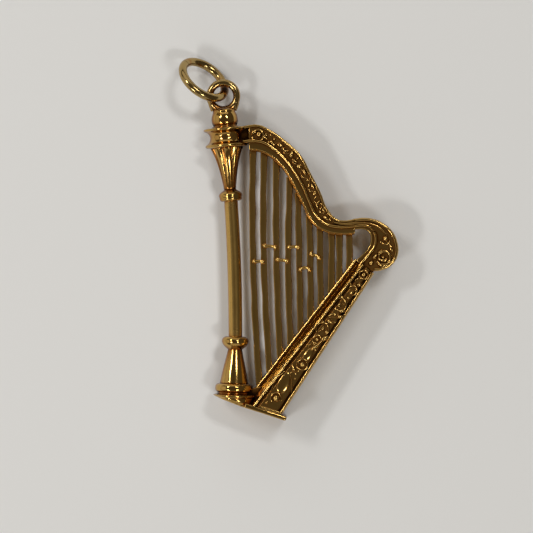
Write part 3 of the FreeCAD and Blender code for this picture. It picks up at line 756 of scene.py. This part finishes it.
def make_neck():
    """The curved neck with its tenon into the drum, its two rims and the rail for the strings."""
    low = [(2.12, 22.0), *offset(NECK_LOW, 0.05)[1:], (11.05, 14.45)]
    top = [(11.05, 15.42), *reversed(offset(NECK_TOP, -0.14)[2:-1]), (2.15, 23.85)]
    face = plate("face", [low, top], NECK_HALF, 0.08)
    tenon = [(1.15, 22.60), (2.30, 22.40), (2.30, 23.95), (1.15, 23.80)]
    tenon = bar_between("tenon", [(*p, -TENON_HALF) for p in tenon],
                        [(*p, TENON_HALF) for p in tenon])
    piece = join("Neck", [face, tenon])
    settle(smooth(piece, 40), ["neck"], cast_gold)
    outer = wire("Neck_Outer_Rim", on_face(offset(NECK_TOP, -0.12), NECK_HALF + 0.01), 0.12,
                 sides=3, steps=6, swell=uneven(len(NECK_TOP), 0.08))
    settle(smooth(both_faces(outer), 60), ["neck_outer_rim"], cast_gold)
    inner = wire("Neck_Inner_Rim", on_face(NECK_RIM, NECK_HALF + 0.03), 0.135, sides=4, steps=8,
                 swell=uneven(len(NECK_RIM), 0.05))
    settle(smooth(both_faces(inner), 60), ["neck_inner_rim"], cast_gold)
    rail = wire("Neck_String_Rail", on_face(NECK_LOW, 0.46), 0.16, sides=4, steps=8,
                swell=uneven(len(NECK_LOW), 0.05))
    rail = both_faces(rail)
    core = wire("core", on_face(NECK_LOW, 0.0), 0.15, sides=3, steps=8, flat=3.2)
    rail = join("Neck_String_Rail", [rail, core, bead(2.38, 21.98, 0.62, 0.19, 0.2)])
    settle(smooth(rail, 60), ["neck_string_rail"], cast_gold)


def vine(line, aside, level, thick, waves):
    """A stem that winds from side to side of a line drawn on a face."""
    points = []
    for i in range(2 * waves + 1):
        at = (len(line) - 1) * i / (2 * waves)
        k = min(int(at), len(line) - 2)
        (x0, y0), (x1, y1) = line[k], line[k + 1]
        run = Vector((x1 - x0, y1 - y0)).normalized()
        side = aside * (1 if i % 2 else -1)
        points.append((x0 + (x1 - x0) * (at - k) - run.y * side,
                       y0 + (y1 - y0) * (at - k) + run.x * side, level(i / (2 * waves))))
    return wire("vine", points, thick, sides=3, steps=6)


NECK_MIDDLE = ((3.45, 23.15), (4.20, 22.60), (5.30, 21.65), (6.05, 20.75), (6.75, 19.55),
               (7.35, 18.35), (7.85, 17.25), (8.30, 16.35), (8.85, 15.75), (9.35, 15.45))


def neck_ornament():
    """A rosette at the drum's end, then a vine with leaves and beads."""
    level = NECK_HALF - 0.03
    pieces = [hoop(2.85, 23.12, level + 0.06, 0.55, 0.10, -160, 175, 0.15),
              bead(2.95, 23.20, level + 0.02, 0.26, 0.24), bead(2.62, 23.42, level, 0.14, 0.16)]
    for x, y, radius in ((3.60, 23.15, 0.17), (3.80, 22.50, 0.15), (4.30, 22.75, 0.14),
                         (6.28, 21.00, 0.16), (5.85, 20.85, 0.13), (7.10, 19.10, 0.14),
                         (7.20, 18.55, 0.12), (7.27, 18.10, 0.12), (7.65, 17.85, 0.18),
                         (8.10, 17.90, 0.12), (8.10, 16.25, 0.13), (8.92, 16.05, 0.14),
                         (9.00, 15.50, 0.12), (9.45, 15.30, 0.11), (5.45, 21.70, 0.12)):
        pieces.append(bead(x, y, level, radius, radius * 1.05))
    for x, y, length, width, turn in ((4.85, 22.18, 0.75, 0.36, -15), (5.78, 21.42, 0.8, 0.40, 70),
                                      (6.42, 20.25, 0.65, 0.36, -20), (6.85, 19.75, 0.7, 0.3, -60),
                                      (4.15, 22.35, 0.8, 0.30, -50), (5.15, 21.75, 0.8, 0.30, -45),
                                      (8.00, 17.08, 0.6, 0.30, 50), (7.85, 16.75, 0.7, 0.26, -70),
                                      (8.60, 15.72, 0.6, 0.34, -25), (8.45, 16.35, 0.6, 0.26, -60),
                                      (9.18, 15.75, 0.5, 0.24, -30), (7.55, 18.45, 0.7, 0.28, -65),
                                      (3.55, 22.85, 0.7, 0.28, -40), (6.05, 20.75, 0.7, 0.26, -35)):
        pieces.append(leaf(x, y, level, length, width, turn, 0.2))
    pieces.append(vine(NECK_MIDDLE, 0.24, lambda share: level + 0.02, 0.07, 9))
    return pieces


def make_neck_ornament():
    piece = both_faces(join("Neck_Ornament", neck_ornament()))
    settle(smooth(piece, 60), ["neck_ornament"], cast_gold)


def make_shoulder():
    """The shoulder round the teardrop opening, with its rims, spiral and beads."""
    half = SHOULDER_HALF
    heel = box_place(BOX_LENGTH, 1.12)
    foot = box_place(BOX_LENGTH, -0.30)
    outline = [[(11.10, 15.50), *offset(SHOULDER_OUT, -0.05)[1:]], [tuple(heel), tuple(foot)],
               SHOULDER_IN]
    piece = plate("Shoulder", outline, half, 0.08)
    settle(smooth(piece, 40), ["shoulder"], cast_gold)
    outer = wire("rim", on_face(offset(SHOULDER_OUT, -0.13), half + 0.01), 0.13, sides=4, steps=8,
                 swell=uneven(len(SHOULDER_OUT), 0.05))
    middle = wire("rim", on_face(SHOULDER_MIDDLE, half - 0.02), 0.12, sides=4, steps=8,
                  swell=[0.6, 0.9, 1.0, 1.05, 1.0, 0.95, 0.9, 0.5])
    piece = both_faces(join("Shoulder_Outer_Rim", [outer, middle]))
    settle(smooth(piece, 60), ["shoulder_outer_rim"], cast_gold)
    crest = ((11.10, 14.92), (11.70, 14.98), (12.30, 14.88), (12.75, 14.45))
    edge = (tuple(box_place(BOX_LENGTH - 0.8, 0.16)), (11.50, 11.55), (12.00, 12.12),
            (12.45, 12.66), (12.82, 13.22), (12.92, 13.80), (12.80, 14.35))
    inner = [wire("rim", on_face(crest, half), 0.125, sides=4, steps=8,
                  swell=[1.0, 1.0, 0.95, 0.6]),
             wire("rim", on_face(edge, half + 0.04), 0.14, sides=4, steps=8)]
    piece = both_faces(join("Shoulder_Inner_Rim", inner))
    settle(smooth(piece, 60), ["shoulder_inner_rim"], cast_gold)

    volute = [hoop(13.55, 12.15, half, 0.72, 0.13, -150, 330, 0.62),
              leaf(13.75, 11.45, half, 1.25, 0.34, 38, 0.22, 0.2),
              leaf(13.20, 11.50, half, 0.7, 0.30, -45, 0.2, 0.3)]
    piece = both_faces(join("Shoulder_Volute", volute))
    settle(smooth(piece, 60), ["shoulder_volute"], cast_gold)
    beads = [bead(13.75, 13.75, half, 0.25, 0.26), bead(13.50, 12.15, half, 0.17, 0.24),
             hoop(13.72, 13.68, half, 0.42, 0.08, -170, -10),
             leaf(12.80, 12.22, half, 0.62, 0.36, 48, 0.24, 0.2),
             leaf(12.45, 11.66, half - 0.05, 0.58, 0.44, 45, 0.26, 0.2),
             leaf(13.28, 12.62, half, 0.6, 0.30, 30, 0.2, 0.3),
             leaf(14.20, 12.95, half, 0.9, 0.26, 110, 0.15, 0.4)]
    piece = both_faces(join("Shoulder_Beads", beads))
    settle(smooth(piece, 60), ["shoulder_beads"], cast_gold)


# ---------------------------------------------------------------- strings

STRING_FOOT_X = (2.35, 3.30, 4.25, 5.20, 6.12, 7.02, 7.95, 8.86, 9.68, 10.52)
STRING_TOP_X = (2.40, 3.37, 4.42, 5.58, 6.25, 7.15, 8.05, 9.05, 9.76, 10.62)
STRING_BOW = (-0.26, -0.28, -0.17, -0.20, -0.03, 0.03, -0.02, 0.05, -0.02, 0.03)
STRING_HALF_WIDTH, STRING_HALF_DEPTH = 0.28, 0.22
# each tie: the string on its left, its height, and how much it rises to the right
TIES = ((0, 12.06, 0.0), (1, 13.35, -0.12), (2, 12.10, -0.10), (3, 13.23, 0.0), (4, 11.24, 0.05),
        (5, 12.43, -0.30))


def height_of(line, x):
    """How high a line runs at x."""
    for (x0, y0), (x1, y1) in zip(line, line[1:]):
        if x0 <= x <= x1:
            return y0 + (y1 - y0) * (x - x0) / (x1 - x0)
    return line[-1][1]


def string_ends(i):
    """Where a string leaves the soundboard's rail and where it meets the neck's."""
    rail = box_place(0, RAIL_OUT + 0.01)
    foot_x, top_x = STRING_FOOT_X[i], STRING_TOP_X[i]
    low = Vector((foot_x, rail.y + (foot_x - rail.x) * box_run.y / box_run.x))
    return low, Vector((top_x, height_of(NECK_LOW, top_x) + 0.02))


def string_at(i, share):
    """A point that share of the way up a string, which is slightly bowed."""
    low, high = string_ends(i)
    return low.lerp(high, share) + Vector((STRING_BOW[i] * 4 * share * (1 - share), 0))


def make_string(i):
    """A flat-topped bar that wavers a little and spreads where it is cast into the rails."""
    low, high = string_ends(i)
    knots = max(4, round((high.y - low.y) / 1.3))
    points, swell = [], []
    for k in range(knots + 1):
        x, y = string_at(i, k / knots)
        at_end = k in (0, knots)
        waver = 0 if at_end else 0.02 * math.sin(k * 2.3 + i * 1.9)
        points.append((x + waver, y))
        swell.append(1 + 0.07 * math.sin(k * 1.7 + i * 2.6) + (0.12 if at_end else 0))
    piece = wire("String_%02d" % (i + 1), points, STRING_HALF_WIDTH, swell=swell, steps=6,
                 section=squared_section(STRING_HALF_WIDTH, STRING_HALF_DEPTH))
    settle(smooth(piece, 60), ["string_%02d" % (i + 1)], string_gold)


def make_tie(index, first, height, rise):
    """A small bar across two strings, with a blob of metal at each end. The fifth is arched."""
    level = 0.16
    ends = []
    for i in (first, first + 1):
        low, high = string_ends(i)
        ends.append(string_at(i, (height - low.y) / (high.y - low.y)))
    left = Vector((ends[0].x, height - rise / 2, level))
    right = Vector((ends[1].x, height + rise / 2, level))
    arch = 0.18 if index == 4 else 0.04
    bar = wire("tie", [left, (left + right) / 2 + Vector((0, arch, 0.10)), right], 0.14,
               swell=[1.25, 1.0, 1.25], sides=4, steps=6)
    blobs = [bead(left.x + 0.10, left.y + 0.05, 0.24, 0.20, 0.18),
             bead(right.x - 0.10, right.y - 0.04, 0.24, 0.20, 0.18)]
    piece = join("String_Tie_%d" % (index + 1), [bar, *blobs])
    settle(smooth(piece, 60), ["string_tie_%d" % (index + 1)], string_gold)


# ---------------------------------------------------------------- floor, light and camera

def make_floor():
    deselect()
    bpy.ops.mesh.primitive_plane_add(size=3.0, location=(0, 0, 0))
    floor = named("Floor")
    finish = Finish("Pale_Floor")
    finish.feed(Base_Color=(0.82, 0.82, 0.805, 1), Roughness=0.9)
    floor.data.materials.append(finish.material)


def aim(item, target=(0, 0, 0.002)):
    item.rotation_euler = (Vector(target) - item.location).to_track_quat("-Z", "Y").to_euler()


def lamp(name, spot, size, watts, colour=(1, 1, 1)):
    """A soft rectangular lamp aimed at the charm."""
    light = bpy.data.lights.new(name, "AREA")
    light.shape = "RECTANGLE"
    light.size, light.size_y = size
    light.energy = watts
    light.color = colour
    item = bpy.data.objects.new(name, light)
    item.location = spot
    item.visible_camera = False
    bpy.context.collection.objects.link(item)
    aim(item)


def light_studio():
    """Four small lamps overhead, soft windows to the left, far and near, and a dim warm room."""
    world = bpy.data.worlds.new("Studio")
    bpy.context.scene.world = world
    world.use_nodes = True
    world.node_tree.nodes["Background"].inputs[0].default_value = (0.095, 0.08, 0.06, 1)
    for y in (-0.125, 0.125):
        lamp("Left_Lamp", (-0.17, y, 0.22), (0.075, 0.032), 0.175)
        lamp("Right_Lamp", (0.095, y, 0.26), (0.075, 0.032), 0.155)
    lamp("Left_Window", (-0.42, 0.0, 0.16), (0.50, 0.30), 0.25, (1.0, 0.96, 0.90))
    lamp("Far_Window", (-0.05, 0.42, 0.20), (0.60, 0.30), 0.35, (1.0, 0.97, 0.93))
    lamp("Near_Window", (-0.05, -0.42, 0.20), (0.60, 0.30), 0.25, (1.0, 0.97, 0.93))


def set_camera():
    """A camera straight above, that takes in a square of this width at the mid-plane."""
    camera = bpy.data.objects.new("Camera", bpy.data.cameras.new("Camera"))
    bpy.context.collection.objects.link(camera)
    width, distance, sensor = 46.75 * MM, 0.30, 36.0
    target = TO_ROW @ Vector((3.28, 11.62, 0))
    camera.data.sensor_width = sensor
    camera.data.lens = sensor * (distance - target.z) / width
    camera.data.clip_start = 0.001
    camera.location = (target.x, target.y, distance)
    camera.rotation_euler = (0, 0, math.radians(-1.68))
    bpy.context.scene.camera = camera
    bpy.context.scene.view_settings.view_transform = "Standard"


make_plinth()
make_column_foot()
make_lower_collar()
make_shaft()
make_upper_collar()
make_capital_cone()
make_capital_drum()
make_finial()
make_eye()
make_jump_ring()
make_soundbox_pieces()
make_base()
make_neck()
make_neck_ornament()
make_shoulder()
for number in range(len(STRING_FOOT_X)):
    make_string(number)
for number, tie in enumerate(TIES):
    make_tie(number, *tie)
make_floor()
light_studio()
set_camera()
